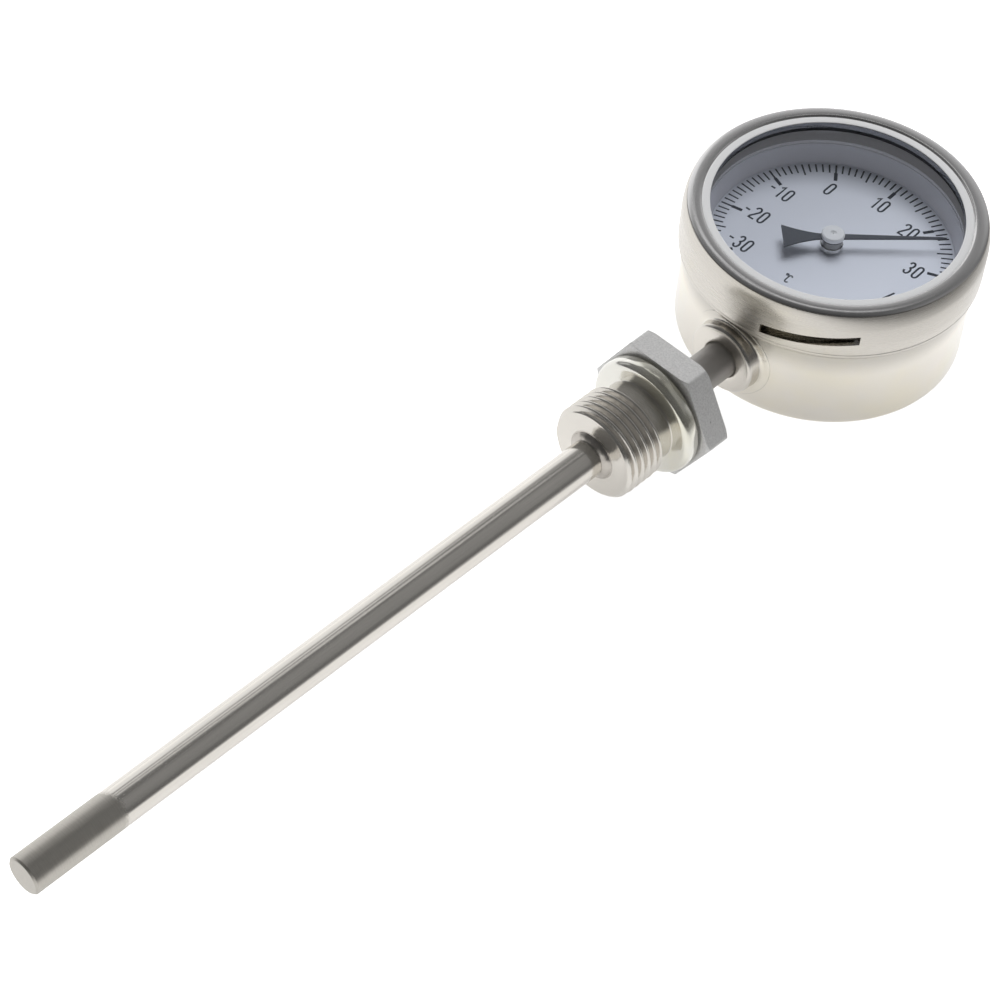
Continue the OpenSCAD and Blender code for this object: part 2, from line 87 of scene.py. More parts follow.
class Shader:
    """Adds nodes to the tree of one material or world, and links them."""

    def __init__(self, owner, output="ShaderNodeOutputMaterial"):
        self.owner = owner
        owner.use_nodes = True
        self.tree = owner.node_tree
        self.tree.nodes.clear()
        self.out = self.tree.nodes.new(output)

    def put(self, node, key, value):
        """Links the value to an input if it is another node's output, or sets it."""
        if hasattr(value, "is_output"):
            self.tree.links.new(value, node.inputs[key])
        else:
            node.inputs[key].default_value = value

    def add(self, kind, inputs=None, **attrs):
        node = self.tree.nodes.new("ShaderNode" + kind)
        for key, value in attrs.items():
            setattr(node, key, value)
        for key, value in (inputs or {}).items():
            self.put(node, key, value)
        return node

    def math(self, op, a, b=0.0, c=0.0, clamp=False):
        return self.add("Math", {0: a, 1: b, 2: c}, operation=op, use_clamp=clamp).outputs[0]

    def times(self, a, b):
        return self.math("MULTIPLY", a, b)

    def vary(self, base, noise, amount, clamp=False):
        """The base plus the noise's swing about one half, times the amount."""
        swing = self.times(self.math("SUBTRACT", noise, 0.5), amount)
        return self.math("ADD", base, swing, clamp=clamp)

    def map(self, value, lo, hi, to_lo=0.0, to_hi=1.0, smooth=False):
        kind = "SMOOTHSTEP" if smooth else "LINEAR"
        return self.add("MapRange", {0: value, 1: lo, 2: hi, 3: to_lo, 4: to_hi},
                        interpolation_type=kind, clamp=True).outputs[0]

    def noise(self, vector, scale, detail=2.0, rough=0.5):
        return self.add("TexNoise", {"Vector": vector, "Scale": scale, "Detail": detail,
                                     "Roughness": rough}).outputs["Fac"]

    def streaks(self, a, a_size, b, b_size, c, c_size, detail=2.0):
        """Noise stretched to the given sizes, in the units of its three coordinates."""
        pairs = ((a, a_size), (b, b_size), (c, c_size))
        sides = {i: self.math("DIVIDE", value, size) for i, (value, size) in enumerate(pairs)}
        stretched = self.add("CombineXYZ", sides).outputs[0]
        return self.noise(stretched, 1.0, detail, STREAK_ROUGHNESS)

    def mix(self, fac, a, b):
        """Blend of two colours."""
        return self.add("Mix", {0: fac, 6: a, 7: b}, data_type="RGBA").outputs[2]

    def place(self):
        """The point on the object, in metres in the frame of the CAD."""
        return self.add("TexCoord").outputs["Object"]

    def polar(self, axis):
        """Point, angle, height and radius about the dial's axis ("Z") or the stem's ("Y")."""
        p = self.place()
        x, y, z = self.add("SeparateXYZ", {0: p}).outputs
        if axis == "Y":
            u, v, h = x, self.math("SUBTRACT", z, stem_z * MM), y
        else:
            u, v, h = x, y, z
        ang = self.math("ARCTAN2", v, u)
        rad = self.math("SQRT", self.math("ADD", self.times(u, u), self.times(v, v)))
        return p, ang, h, rad

    def relief(self, height, strength, distance, edge=0.0):
        """A bumped normal, with edges that look rounded by edge millimetres."""
        bump = self.add("Bump", {"Height": height, "Strength": strength, "Distance": distance})
        if edge:
            bevel = self.add("Bevel", {"Radius": edge * MM}, samples=4)
            self.put(bump, "Normal", bevel.outputs[0])
        return bump.outputs[0]

    def finish(self, surface):
        self.put(self.out, "Surface", surface)
        return self.owner


def new_shader(name):
    return Shader(bpy.data.materials.new(name))


SHADE_COLOR = rgb(0.10, 0.095, 0.09)        # what a shaded zone of steel is mixed towards
PIT_COLOR = rgb(0.12, 0.11, 0.10)
DARKER, LIGHTER = 0.82, 1.14                # how far a steel's colour swings
YELLOWED = (1.0, 0.97, 0.80)                # what a tinted patch does to each channel
FINE_ARC, FINE_WIDTH = 0.20, 0.00011        # fine brushed lines, in radians and metres
COARSE_ARC, COARSE_WIDTH = 0.9, 0.0007      # coarse ones
CLOUDS, TINTS, PITS, SPECKS = 70.0, 42.0, 420.0, 2600.0     # noise scales, per metre
STEEL_BUMP, SOFT_BUMP = 0.00002, 0.00003    # heights of the bumps, in metres


def steel(name, color, rough, axis="Z", grain=0.25, bump=0.2, spread=0.05, stain=0.06, aniso=0.0,
          pits=0.0, edge=0.0, metal=1.0, shade=None, mottle=0.0, tint=0.0):
    """Steel or brass, brushed about an axis, with clouds and fine scratches.

    grain, stain and mottle are the strengths of the streaks, clouds and specks in the colour, and
    spread is that of the uneven gloss. tint yellows it in patches, pits adds small dark holes, and
    shade is (height where it starts, height where it is full, strength) of a darker zone.
    """
    s = new_shader(name)
    p, ang, h, rad = s.polar(axis)
    fine = s.streaks(ang, FINE_ARC, h, FINE_WIDTH, rad, FINE_WIDTH)
    coarse = s.streaks(ang, COARSE_ARC, h, COARSE_WIDTH, rad, COARSE_WIDTH)
    cloud = s.noise(p, CLOUDS, 3.0)
    speck = s.noise(p, SPECKS, 2.0)
    grainy = s.math("ADD", s.times(fine, 0.6), s.times(coarse, 0.4))
    gloss = s.vary(s.vary(rough, grainy, spread * 4), cloud, spread, clamp=True)
    tone = s.vary(s.times(s.math("SUBTRACT", grainy, 0.5), grain), cloud, stain * 2)
    if mottle:
        tone = s.vary(tone, speck, mottle)
    tone = s.math("ADD", tone, 0.5, clamp=True)
    col = s.mix(tone, scaled(color, DARKER), scaled(color, LIGHTER))
    if tint:
        patch = s.map(s.noise(p, TINTS, 4.0, 0.6), 0.46, 0.70, 0.0, tint, smooth=True)
        col = s.mix(patch, col, rgb(*[c * k for c, k in zip(color, YELLOWED)]))
    if shade:
        start, full, strength = shade
        col = s.mix(s.map(h, start * MM, full * MM, 0.0, strength, smooth=True), col,
                    SHADE_COLOR)
    height = s.math("ADD", fine, s.times(speck, 0.35))
    if pits:
        hole = s.map(s.noise(p, PITS, 1.0), 0.74, 0.78)
        height = s.math("SUBTRACT", height, s.times(hole, pits * 8))
        col = s.mix(s.times(hole, pits), col, PIT_COLOR)
    inputs = {"Base Color": col, "Metallic": metal, "Roughness": gloss,
              "Normal": s.relief(height, bump, STEEL_BUMP, edge), "Anisotropic": aniso}
    if aniso:
        inputs["Tangent"] = s.add("Tangent", direction_type="RADIAL", axis=axis).outputs[0]
    return s.finish(s.add("BsdfPrincipled", inputs).outputs[0])


MATT_LENGTH = 20.0                          # of the ground end of the stem
MATT_RAGGED, MATT_SLANT = 2.6, 1.3          # how uneven and how slanted its border is
MATT_SLANT_AT = 0.9                         # where it is nearest to the dial, in radians
STEM_METAL, STEM_BUMP, STEM_EDGE = 0.86, 0.30, 0.12


def stem_steel():
    """Polished tube with drawn streaks, and a ground matt end with a ragged border."""
    s = new_shader("stem_polish")
    p, ang, h, rad = s.polar("Y")
    drawn = s.streaks(ang, 0.05, h, 0.02, rad, 0.001, 3.0)
    turned = s.streaks(ang, 1.2, h, 0.00016, rad, 0.00016, 3.0)
    speck = s.noise(p, 1500.0, 3.0, 0.65)
    cloud = s.noise(p, 60.0, 3.0)
    slant = s.math("COSINE", s.math("SUBTRACT", ang, MATT_SLANT_AT))
    down = s.vary(s.times(h, -1.0 / MM), speck, MATT_RAGGED)
    down = s.math("ADD", down, s.times(slant, MATT_SLANT))
    border = tip_end - MATT_LENGTH
    matt = s.map(down, border - 0.5, border + 0.5)
    polished = s.math("ADD", 0.085, s.times(drawn, 0.10))
    polished = s.math("ADD", polished, s.times(s.map(speck, 0.62, 0.78), 0.10))
    ground = s.math("ADD", 0.30, s.times(turned, 0.14))
    rough = s.add("Mix", {0: matt, 2: polished, 3: ground}, data_type="FLOAT").outputs[0]
    bright = s.mix(drawn, rgb(0.66, 0.63, 0.575), rgb(0.82, 0.785, 0.735))
    bright = s.mix(s.times(s.map(cloud, 0.35, 0.75), 0.25), bright, rgb(0.60, 0.57, 0.53))
    dull = s.mix(turned, rgb(0.42, 0.40, 0.36), rgb(0.62, 0.59, 0.54))
    height = s.math("ADD", s.times(turned, s.math("MULTIPLY_ADD", matt, 1.2, 0.10)),
                    s.times(speck, s.math("MULTIPLY_ADD", matt, 0.6, 0.22)))
    inputs = {"Base Color": s.mix(matt, bright, dull), "Metallic": STEM_METAL, "Roughness": rough,
              "Normal": s.relief(height, STEM_BUMP, SOFT_BUMP, STEM_EDGE)}
    return s.finish(s.add("BsdfPrincipled", inputs).outputs[0])


SHADE_SWEEP_FROM, SHADE_SWEEP_TO = 18, -20              # X where the dial's painted shade starts, and where it ends


def paint(name, color, rough, tone=0.05, scale=900.0, bump=0.15, spec=0.5, shade_sweep=0.0, glow=0.0):
    """Paint, rubber or plastic with a fine grain, faint clouds and uneven gloss.

    The sweep is painted shade that darkens it toward -X, and glow is painted light that stands in
    for light caught in the window's edge.
    """
    s = new_shader(name)
    p = s.place()
    grain = s.noise(p, scale, 3.0, 0.6)
    cloud = s.noise(p, 45.0, 3.0)
    fac = s.math("ADD", s.times(grain, 0.5), s.times(cloud, 0.5))
    col = s.mix(fac, scaled(color, 1 - tone), scaled(color, 1 + tone))
    # painted shade: the colour darkens toward -X
    if shade_sweep:
        x = s.add("SeparateXYZ", {0: p}).outputs[0]
        dark = s.map(x, SHADE_SWEEP_FROM * MM, SHADE_SWEEP_TO * MM, 0.0, shade_sweep, smooth=True)
        col = s.mix(dark, col, rgb(0.0, 0.0, 0.02))
    gloss = s.math("ADD", rough - 0.06, s.times(cloud, 0.12), clamp=True)
    inputs = {"Base Color": col, "Roughness": gloss, "Normal": s.relief(grain, bump, SOFT_BUMP),
              "Specular IOR Level": spec, "Emission Color": col, "Emission Strength": glow}
    return s.finish(s.add("BsdfPrincipled", inputs).outputs[0])


GLASS_IOR = 1.45


def glass():
    """Instrument glass that keeps what is behind it in place, with a ground rim."""
    s = new_shader("window_clear")
    smear = s.noise(s.place(), 160.0, 3.0)
    shape = s.add("NewGeometry").outputs
    fresnel = s.add("Fresnel", {"IOR": GLASS_IOR}).outputs[0]
    front = s.times(fresnel, s.math("SUBTRACT", 1.0, shape["Backfacing"]))
    fac = s.times(front, s.map(smear, 0.3, 0.7, 0.85, 1.0))
    clear = s.add("BsdfTransparent", {"Color": rgb(0.965, 0.975, 0.99)}).outputs[0]
    shine = s.add("BsdfGlossy", {"Color": rgb(1, 1, 1),
                                 "Roughness": s.map(smear, 0.3, 0.8, 0.01, 0.05)}).outputs[0]
    face = s.add("MixShader", {0: fac, 1: clear, 2: shine}).outputs[0]
    facing = s.add("SeparateXYZ", {0: shape["True Normal"]}).outputs[2]
    rim = s.map(s.math("ABSOLUTE", facing), 0.4, 0.6, 1.0, 0.0)
    grey = s.mix(smear, rgb(0.30, 0.30, 0.32), rgb(0.38, 0.38, 0.40))
    ground = s.add("BsdfDiffuse", {"Color": grey}).outputs[0]
    return s.finish(s.add("MixShader", {0: rim, 1: face, 2: ground}).outputs[0])


BRASS = (0.80, 0.62, 0.30)
M = {
    "case": steel("case_satin", (0.745, 0.712, 0.652), 0.22, grain=0.30, bump=0.16, stain=0.12,
                  edge=0.25, shade=(14.5, 20.5, 0.36), tint=0.35),
    "skirt": steel("bezel_satin", (0.60, 0.572, 0.528), 0.27, bump=0.12, stain=0.10, aniso=0.5,
                   tint=0.35),
    "band": steel("bezel_brushed", (0.74, 0.73, 0.725), 0.19, grain=0.30, bump=0.22, stain=0.03,
                  aniso=0.55),
    # painted sheen: the polished bead is drawn near white and barely metallic, so it stays bright
    # from every side
    "bead": steel("bezel_bead_painted_sheen", (0.93, 0.935, 0.95), 0.25, grain=0.35, bump=0.03, spread=0.02,
                  stain=0.03, metal=0.12),
    # painted shade: the polished lip is given a dark colour so that it does not mirror the dial
    "lip": steel("bezel_lip_painted_shade", (0.24, 0.24, 0.25), 0.10, grain=0.10, bump=0.03, spread=0.02,
                 stain=0.03),
    "socket": steel("socket_turned", (0.66, 0.63, 0.58), 0.24, "Y", bump=0.15),
    "hexagon": steel("hexagon_blasted", (0.79, 0.785, 0.775), 0.36, "Y", grain=0.10, bump=0.75,
                     spread=0.03, pits=0.8, edge=0.12, metal=0.42, mottle=1.6),
    "collar": steel("collar_polished", (0.78, 0.77, 0.72), 0.13, "Y", grain=0.28, bump=0.16,
                    metal=0.85, tint=0.6),
    "thread": steel("thread_cut", (0.72, 0.69, 0.64), 0.17, "Y", grain=0.32, metal=0.82),
    "weld": steel("weld_bead", (0.50, 0.47, 0.43), 0.30, "Y", grain=0.5, bump=0.5, stain=0.2),
    "neck": steel("neck_drawn", (0.44, 0.42, 0.40), 0.50, "Y", grain=0.35, stain=0.10, edge=0.12,
                  metal=0.6),
    "stem": stem_steel(),
    "plain": steel("bright_turned", (0.66, 0.66, 0.65), 0.22, edge=0.06),
    "shaft": steel("shaft_ground", (0.70, 0.70, 0.69), 0.18, "Y", bump=0.15, edge=0.04),
    "hub": steel("hub_nickel", (0.85, 0.85, 0.85), 0.14, grain=0.06, bump=0.06, spread=0.02,
                 edge=0.08, shade=(23.3, 23.5, 0.75)),
    "plate": steel("nickel_plated", (0.96, 0.96, 0.96), 0.16, grain=0.06, bump=0.06, spread=0.02,
                   edge=0.08, metal=0.15),
    "brass": steel("brass_machined", BRASS, 0.24, bump=0.25, edge=0.06),
    "brass_y": steel("brass_turned", BRASS, 0.24, "Y", bump=0.25, edge=0.05),
    "bimetal": steel("bimetal_rolled", (0.62, 0.54, 0.44), 0.30, "Y", grain=0.35, bump=0.25,
                     stain=0.12),
    "ptfe": paint("guide_ptfe", (0.90, 0.90, 0.88), 0.45, tone=0.03),
    # the dial's sweep is painted shade, darker toward -X
    "dial": paint("dial_white", (0.86, 0.88, 0.94), 0.42, tone=0.012, bump=0.05, spec=0.3,
                  shade_sweep=0.20),
    "ink": paint("dial_ink", (0.045, 0.050, 0.062), 0.5, tone=0.12, spec=0.25),
    "spacer": paint("spacer_grey", (0.58, 0.58, 0.62), 0.45, spec=0.3, glow=0.075),
    "pointer": paint("pointer_dark", (0.085, 0.092, 0.105), 0.42, tone=0.08, spec=0.4),
    "seal": paint("seal_dark", (0.42, 0.42, 0.44), 0.55, tone=0.15, scale=1600.0, bump=0.3,
                  glow=0.17),
    "gasket": paint("gasket_black", (0.012, 0.012, 0.013), 0.6, tone=0.2, scale=1600.0, bump=0.3),
    "glass": glass(),
}
LOOK = {                            # the look of each CAD node that stays visible
    "case": ["case_pot"],
    "neck": ["neck_tube"],
    "stem": ["stem_tube", "stem_tip"],
    "bimetal": ["bimetal_coil"],
    "brass_y": ["coil_hub", "thrust_collar", "shaft_bearing", "drive_gear"],
    "brass": ["pointer_pinion", "base_plate", "top_plate", "plate_pillars", "lower_bush",
              "upper_bush"],
    "shaft": ["drive_shaft"],
    "plain": ["case_studs", "pointer_shaft", "plate_nuts", "dial_posts"],
    "ptfe": ["shaft_guides"],
    "dial": ["dial_plate"],
    "spacer": ["spacer_ring"],
    "hub": ["pointer_hub"],
    "pointer": ["pointer"],
    "plate": ["pointer_cap"],
    "seal": ["rim_seal"],
    "glass": ["window_glass"],
    "gasket": ["window_gasket"],
}
for look, node_names in LOOK.items():
    for node_name in node_names:
        mats = NODES[node_name].data.materials
        if len(mats) == 0:
            mats.append(M[look])
        for i in range(len(mats)):
            mats[i] = M[look]


# ---------------------------------------------------------------- mesh pieces
def link(name, data):
    """A new object in the scene."""
    ob = bpy.data.objects.new(name, data)
    scene.collection.objects.link(ob)
    return ob


def piece(name, verts, faces, body, looks, which=None, sharp=38, node=None, weld=2e-7):
    """A mesh piece from points in millimetres, that rides on a body and may replace a node.

    which gives each face's index into looks. Edges above sharp degrees stay crisp, and points
    nearer than weld metres are merged.
    """
    bm = bmesh.new()
    points = [bm.verts.new(Vector(p) * MM) for p in verts]
    for i, corners in enumerate(faces):
        face = bm.faces.new([points[k] for k in corners])
        face.material_index = which[i] if which is not None else 0
        face.smooth = True
    if weld:
        bmesh.ops.remove_doubles(bm, verts=bm.verts, dist=weld)
        bmesh.ops.dissolve_degenerate(bm, dist=weld, edges=bm.edges)
    bmesh.ops.recalc_face_normals(bm, faces=bm.faces)
    mesh = bpy.data.meshes.new(name)
    bm.to_mesh(mesh)
    bm.free()
    for look in looks:
        mesh.materials.append(M[look])
    mesh.set_sharp_from_angle(angle=math.radians(sharp))
    ob = link(name, mesh)
    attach(ob, body)
    if node:
        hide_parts(node)


def arc(cx, cy, rx, ry, a0, a1, n):
    """n + 1 points on an arc of an ellipse, from angle a0 to a1 in degrees."""
    angles = [math.radians(a0 + (a1 - a0) * k / n) for k in range(n + 1)]
    return [(cx + rx * math.cos(a), cy + ry * math.sin(a)) for a in angles]


# ---------------------------------------------------------------- bezel
SHEET = 0.9                         # thickness of the bezel's sheet
SLOTS = 3                           # bayonet slots, evenly spaced
SLOT_PITCH = 360 // SLOTS
SLOT_START, SLOT_ARC = -77.5, 37    # where the first slot starts, and how far each runs
SLOT_MID, SLOT_WIDTH = 25.9, 2.2    # height of a slot's middle, and its width
SLOT_RAMP = math.radians(5.4)
SLOPE = math.tan(SLOT_RAMP)
HALF_SLOT = SLOT_WIDTH / 2 / math.cos(SLOT_RAMP)
SKIRT, BAND, BEAD, LIP = range(4)   # looks of the bezel's faces
BEZEL_LOOKS = ["skirt", "band", "bead", "lip"]


def slot_columns():
    """Angles of the bezel's columns of points, whether a slot follows each, and its edges."""
    cols = []
    steps = list(range(SLOT_PITCH)) + [0.25, SLOT_ARC - 0.25, SLOT_ARC + 0.25, SLOT_PITCH - 0.25]
    for s in range(SLOTS):
        cols += sorted(SLOT_START + SLOT_PITCH * s + step for step in steps)
    period = np.array([(c - SLOT_START) % SLOT_PITCH for c in cols])
    in_slot = period < SLOT_ARC - 1e-6
    ramp = np.sin(np.radians(period - SLOT_ARC / 2)) * bezel_r * SLOPE
    rise = np.sin(np.radians(SLOT_ARC / 2)) * bezel_r * SLOPE
    back = (period - SLOT_ARC) / (SLOT_PITCH - SLOT_ARC)
    mid = np.where(period <= SLOT_ARC, ramp, rise - 2 * rise * back)
    return cols, in_slot, SLOT_MID + mid - HALF_SLOT, SLOT_MID + mid + HALF_SLOT


def bezel_section():
    """The ring's closed section: (radius, height, look). "lo" and "hi" are a slot's edges."""
    bore = bezel_r - SHEET
    foot, crest = bezel_lo[2], bezel_hi[2]
    out = [(bore, foot, SKIRT), (bore + 0.22, foot, SKIRT), (bore + 0.40, foot + 0.06, SKIRT),
           (bore + 0.62, foot + 0.30, SKIRT), (bore + 0.78, foot + 0.65, SKIRT),
           (bezel_r - 0.045, foot + 1.05, SKIRT), (bezel_r - 0.055, foot + 1.28, SKIRT),
           (bezel_r - 0.10, foot + 1.38, SKIRT), (bezel_r - 0.03, foot + 1.50, SKIRT),
           (bezel_r, foot + 1.70, SKIRT), (bezel_r, "lo", SKIRT), (bezel_r, "hi", SKIRT)]

    # a long curve up the side, a tight outer corner and a crowned band
    side_r, corner_r, crown_r, turn = 11.0, 0.5, 4.9, 20
    side = (bezel_r - side_r, crest - 4.36)
    out += [(r, z, SKIRT) for r, z in arc(*side, side_r, side_r, 0, turn, 8)]
    u, v = math.cos(math.radians(turn)), math.sin(math.radians(turn))
    corner = (side[0] + (side_r - corner_r) * u, side[1] + (side_r - corner_r) * v)
    points = arc(*corner, corner_r, corner_r, 27, 70, 7)
    out += [(r, z, SKIRT if k < 4 else BAND) for k, (r, z) in enumerate(points)]
    crown = (corner[0] - (crown_r - corner_r) * v, crest - crown_r)
    out += [(r, z, BAND) for r, z in arc(*crown, crown_r, crown_r, 73, 100, 9)]

    # a shallow groove, a flat-topped bead and the lip over the gasket
    out += [(28.44, crest - 0.12, BAND), (28.38, crest - 0.20, BAND), (28.32, crest - 0.28, BAND),
            (28.24, crest - 0.325, BAND), (28.17, crest - 0.335, BEAD),
            (28.10, crest - 0.325, BEAD), (28.02, crest - 0.29, BEAD)]
    top, lip_r = crest - 0.25, 0.28
    out += [(27.90, top, BEAD), (27.5, top + 0.01, BEAD), (27.1, top + 0.01, BEAD)]
    points = arc(26.68, top - lip_r, lip_r, lip_r, 90, 180, 6)
    out += [(r, z, BEAD if k < 4 else LIP) for k, (r, z) in enumerate(points)]
    out += [(26.40, top - 0.9, LIP), (26.44, top - 1.45, LIP), (26.62, top - 1.62, LIP),
            (27.4, top - 1.66, LIP), (28.2, top - 1.6, LIP)]

    # down the inside
    under = crest - SHEET
    out += [(28.6, crest - 1.2, SKIRT), (29.6, under, SKIRT), (30.3, under - 0.05, SKIRT),
            (30.75, under - 0.35, SKIRT), (bore - 0.2, under - 1.1, SKIRT),
            (bore, crest - 4.0, SKIRT), (bore, "hi", SKIRT), (bore, "lo", SKIRT),
            (bore, foot + 1.6, SKIRT)]
    return out


def add_tab(verts, faces, which, start_deg):
    """A bayonet tab behind a slot's lower edge."""
    outer, inner, steps = bezel_r - SHEET + 0.4, bezel_r - SHEET - 1.2, 38
    section = ((outer, -SHEET), (inner, -SHEET), (inner, -0.02), (outer, -0.02))
    first = len(verts)
    for k in range(steps):
        d = -SLOT_ARC / 2 + SLOT_ARC * k / (steps - 1)
        a = math.radians(start_deg + SLOT_ARC / 2 + d)
        z = SLOT_MID + math.sin(math.radians(d)) * bezel_r * SLOPE - HALF_SLOT
        verts += [(r * math.cos(a), r * math.sin(a), z + dz) for r, dz in section]
    for k in range(steps - 1):
        for q in range(4):
            i0, i1 = first + 4 * k + q, first + 4 * k + (q + 1) % 4
            faces.append((i0, i0 + 4, i1 + 4, i1))
            which.append(SKIRT)
    last = first + 4 * (steps - 1)
    faces += [tuple(first + q for q in range(4)), tuple(last + q for q in (3, 2, 1, 0))]
    which += [SKIRT, SKIRT]


def build_bezel():
    """Bayonet ring: polished bead, crowned brushed band, satin skirt with three ramp slots."""
    cols, in_slot, slot_lo, slot_hi = slot_columns()
    section = bezel_section()
    n, rows = len(cols), len(section)
    out_lo, out_hi, in_hi, in_lo = [k for k, row in enumerate(section) if isinstance(row[1], str)]
    verts, faces, which = [], [], []
    for i, c in enumerate(cols):
        a = math.radians(c)
        edges = {"lo": slot_lo[i], "hi": slot_hi[i]}
        verts += [(r * math.cos(a), r * math.sin(a), edges.get(z, z)) for r, z, _ in section]

    def at(i, k):
        return (i % n) * rows + k % rows

    for i in range(n):
        for k in range(rows):
            if in_slot[i] and k in (out_lo, in_hi):
                continue
            faces.append((at(i, k), at(i + 1, k), at(i + 1, k + 1), at(i, k + 1)))
            which.append(min(section[k][2], section[(k + 1) % rows][2]))
        if in_slot[i]:
            for k0, k1 in ((out_lo, in_lo), (in_hi, out_hi)):
                faces.append((at(i, k0), at(i + 1, k0), at(i + 1, k1), at(i, k1)))
                which.append(SKIRT)
        if in_slot[i - 1] != in_slot[i]:
            faces.append(tuple(at(i, k) for k in (out_lo, out_hi, in_hi, in_lo)))
            which.append(SKIRT)
    for s in range(SLOTS):
        add_tab(verts, faces, which, SLOT_START + SLOT_PITCH * s)
    piece("bezel_skin", verts, faces, "bezel", BEZEL_LOOKS, which, sharp=32,
          node="bezel_ring")


# ---------------------------------------------------------------- turned parts on the stem's axis
def turned(name, degs, rows, slot, looks, sharp, node):
    """A closed ring about the stem's axis. Each row is (radii, distances from the dial, look)."""
    n, m = len(degs), len(rows)
    cos = [math.cos(math.radians(d)) for d in degs]
    sin = [math.sin(math.radians(d)) for d in degs]
    verts, faces, which = [], [], []
    for radii, ys, _ in rows:
        r, y = np.broadcast_to(radii, n), np.broadcast_to(ys, n)
        verts += [(r[i] * cos[i], -y[i], stem_z + r[i] * sin[i]) for i in range(n)]
    for k in range(m):
        for i in range(n):
            i2, k2 = (i + 1) % n, (k + 1) % m
            faces.append((k * n + i, k * n + i2, k2 * n + i2, k2 * n + i))
            which.append(rows[k][2])
    piece(name, verts, faces, "body", looks, which, sharp=sharp, node=node)


THREAD_R, THREAD_PITCH = 10.478, 1.814      # G 1/2, ISO 228-1


def thread_radius(y, degs):
    """Whitworth form with rounded crests and roots, as a right-hand helix."""
    round_r, half_angle = 0.1373 * THREAD_PITCH, math.radians(27.5)
    r_top = THREAD_R - round_r
    r_bot = THREAD_R - 0.6403 * THREAD_PITCH + round_r
    phase = (y / THREAD_PITCH - degs / 360.0) % 1.0
    s = np.abs(phase - 0.5) * THREAD_PITCH          # distance from the crest
    t = THREAD_PITCH / 2 - s                        # distance from the root
    crest = r_top + np.sqrt(np.maximum(round_r ** 2 - s ** 2, 0))
    root = r_bot - np.sqrt(np.maximum(round_r ** 2 - t ** 2, 0))
    touch = round_r * math.cos(half_angle)          # where the rounding meets the flank
    flank = r_top + round_r * math.sin(half_angle) - (s - touch) / math.tan(half_angle)
    return np.where(s < touch, crest, np.where(t < touch, root, flank))


HEXAGON, COLLAR, THREAD, WELD = range(4)            # looks of the fitting's faces
FITTING_LOOKS = ["hexagon", "collar", "thread", "weld"]
HEX_HEIGHT, CHAMFER, CHAMFER_DROP = 6.0, 0.8, 0.45
GROOVE_R, GROOVE = 12.0, 0.5                        # between the hexagon and the collar
COLLAR_R, COLLAR_HEIGHT, COLLAR_ROUND = 13.0, 3.3, 1.6
UNDERCUT_R = 8.9
THREAD_START, THREAD_END = 3.75, 14.0               # from the sealing face
THREAD_STEP = 0.07                                  # between its rows of points
WELD_HEIGHT = 1.29


def build_fitting():
    """Hexagon with chamfered corners, grooved collar, undercut, helical thread and weld bead."""
    hex_y, corner = -fit_hi[1], fit_hi[0]
    flat = corner * math.cos(math.radians(30))
    sector = np.concatenate([[-29.66], np.linspace(-28.2, 28.2, 28), [29.66]])
    degs = np.concatenate([30 + 60 * s + sector for s in range(6)])
    hexr = flat / np.cos(np.radians(np.tile(sector, 6)))
    face_r = corner - CHAMFER
    face = np.minimum(hexr, face_r)
    cut = np.maximum(0.12, (hexr - face_r) / CHAMFER * CHAMFER_DROP)
    back = hex_y + HEX_HEIGHT
    seal = back + GROOVE + COLLAR_HEIGHT
    end = seal + THREAD_END
    bore = stem_r - 0.3 + 0.02
    rows = [(r, hex_y, HEXAGON) for r in
            (bore, stem_r + 0.06, stem_r + 0.9, 9.0, 11.5, 13.2, face - 0.10)]
    rows += [(face, hex_y + 0.04, HEXAGON), (hexr, hex_y + cut, HEXAGON),
             (hexr, hex_y + 1.5, HEXAGON), (hexr, hex_y + 3.0, HEXAGON),
             (hexr, back - 1.5, HEXAGON), (hexr, back - cut, HEXAGON),
             (face, back - 0.04, HEXAGON), (face - 0.10, back, HEXAGON), (13.1, back, HEXAGON)]
    rows += [(12.05, back, COLLAR), (GROOVE_R, back + 0.06, COLLAR),
             (GROOVE_R, back + 0.44, COLLAR), (12.06, back + GROOVE, COLLAR),
             (12.75, back + GROOVE, COLLAR), (12.95, back + 0.58, COLLAR),
             (COLLAR_R, back + 0.78, COLLAR)]
    rounding = arc(COLLAR_R - COLLAR_ROUND, seal - COLLAR_ROUND, COLLAR_ROUND, COLLAR_ROUND,
                   0, 90, 8)
    rows += [(r, y, COLLAR) for r, y in rounding]
    rows += [(9.4, seal, COLLAR), (9.05, seal + 0.05, THREAD), (UNDERCUT_R, seal + 0.2, THREAD),
             (UNDERCUT_R, seal + 1.5, THREAD), (UNDERCUT_R, seal + 3.4, THREAD)]
    for y in np.arange(seal + THREAD_START, end - 1e-6, THREAD_STEP):
        lead_in = 9.0 + (y - seal - THREAD_START) * 1.6
        lead_out = 9.62 + (end - y) * 0.95
        cone = min(lead_in, lead_out)
        rows.append((np.minimum(thread_radius(y - seal, degs), cone), y, THREAD))
    rows += [(9.50, end, THREAD), (9.2, end + 0.02, THREAD), (7.5, end + 0.02, THREAD)]
    rows.append((5.6, end + 0.02, WELD))
    wob = 0.06 * np.sin(np.radians(degs * 7)) + 0.04 * np.sin(np.radians(degs * 17 + 40))
    for r, dy in ((5.32, 0.10), (5.20, 0.34), (4.98, 0.62), (4.66, 0.90), (4.30, 1.10)):
        rows.append((r + wob * 0.4, end + dy, WELD))
    rows += [(4.08, end + 1.22, WELD), (4.02, end + WELD_HEIGHT, WELD),
             (bore, end + WELD_HEIGHT, WELD)]
    turned("fitting_body", degs, rows, "fitting_steel", FITTING_LOOKS, 34, "process_fitting")


